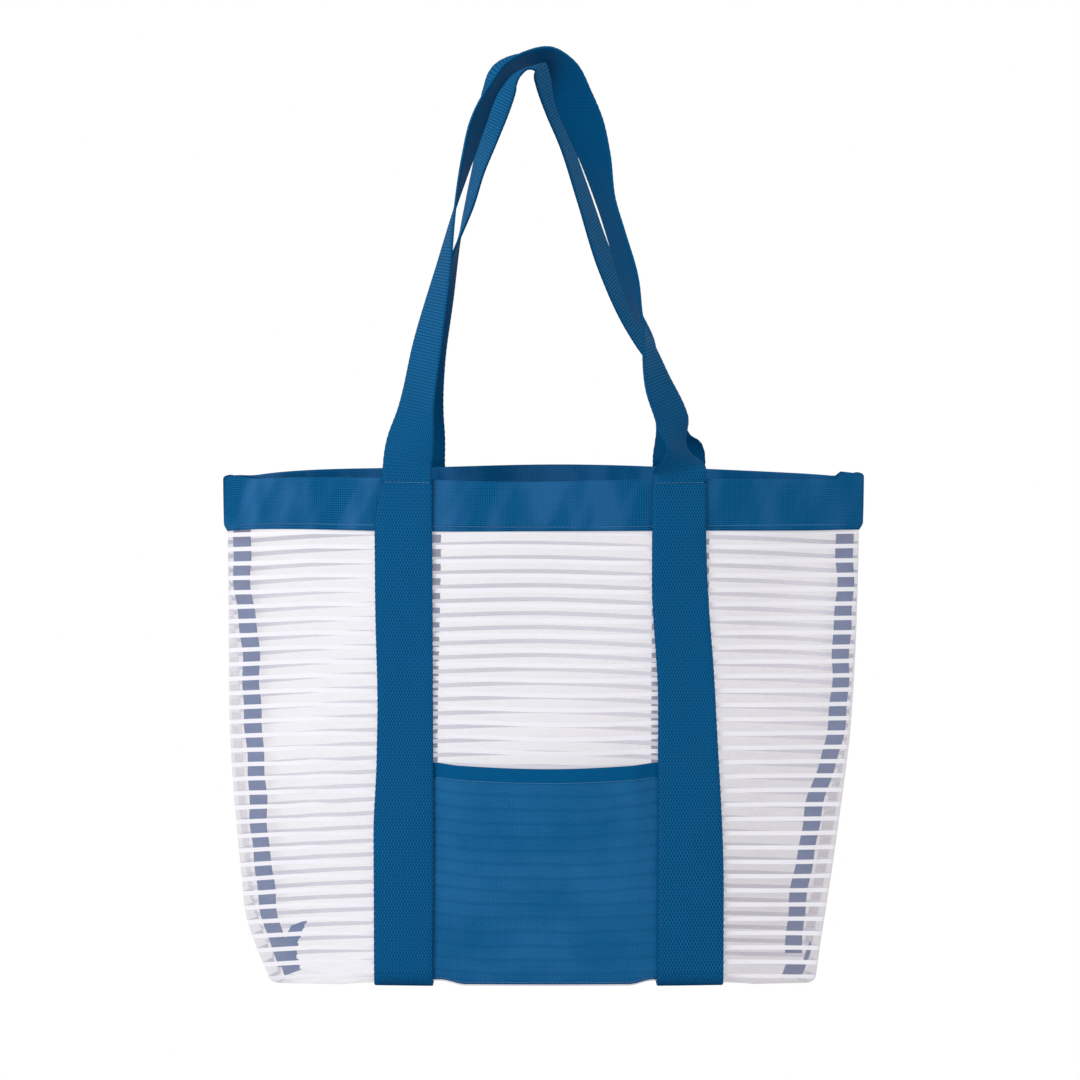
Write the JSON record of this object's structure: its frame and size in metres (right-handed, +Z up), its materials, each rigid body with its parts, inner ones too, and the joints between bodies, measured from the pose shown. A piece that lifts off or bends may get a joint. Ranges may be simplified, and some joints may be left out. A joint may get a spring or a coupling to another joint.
{
  "type": "mesh beach tote bag",
  "caption": "Open tote of sheer striped mesh with a folded cloth band round its mouth, webbing straps under its base, two tall webbing handles and a slip pocket.",
  "frame": {"origin": "middle of the footprint, on the ground that the bag stands on", "axes": "+Z up; the front wall with the pocket faces -Y; +X is to the right, seen from the front"},
  "size_m": [0.416, 0.1143, 0.6102],
  "materials": {
    "sheer_mesh": "sheer polyester mesh with woven opaque white stripes",
    "band_cloth": "blue plain-woven nylon cloth, slight sheen",
    "webbing": "blue ribbed polypropylene webbing",
    "pocket_cloth": "blue thin woven nylon cloth, slight sheen",
    "seam_tape": "blue soft binding tape",
    "thread": "blue sewing thread"
  },
  "bodies": {
    "bag": {"mesh_bag": "sheer_mesh", "pocket": "pocket_cloth", "band_front": "band_cloth", "band_back": "band_cloth", "band_thread_front": "thread", "band_thread_back": "thread", "strap_left": "webbing", "strap_right": "webbing", "strap_thread_front_left": "thread", "strap_thread_back_left": "thread", "strap_thread_front_right": "thread", "strap_thread_back_right": "thread", "side_seam_tape_left": "seam_tape", "side_seam_tape_right": "seam_tape", "corner_seam_tape_left": "seam_tape", "corner_seam_tape_right": "seam_tape", "pocket_hem_thread": "thread", "pocket_foot_thread": "thread"},
    "front_handle": {"handle_front": "webbing"},
    "back_handle": {"handle_back": "webbing"}
  },
  "joints": [
    {"name": "front_handle_fold", "type": "hinge", "parent": "bag", "child": "front_handle", "pos_m": [0, -0.0475, 0.3343], "axis": [1, 0, 0], "range_deg": [0, 165]},
    {"name": "back_handle_fold", "type": "hinge", "parent": "bag", "child": "back_handle", "pos_m": [0, 0.0475, 0.3343], "axis": [-1, 0, 0], "range_deg": [0, 165]}
  ]
}
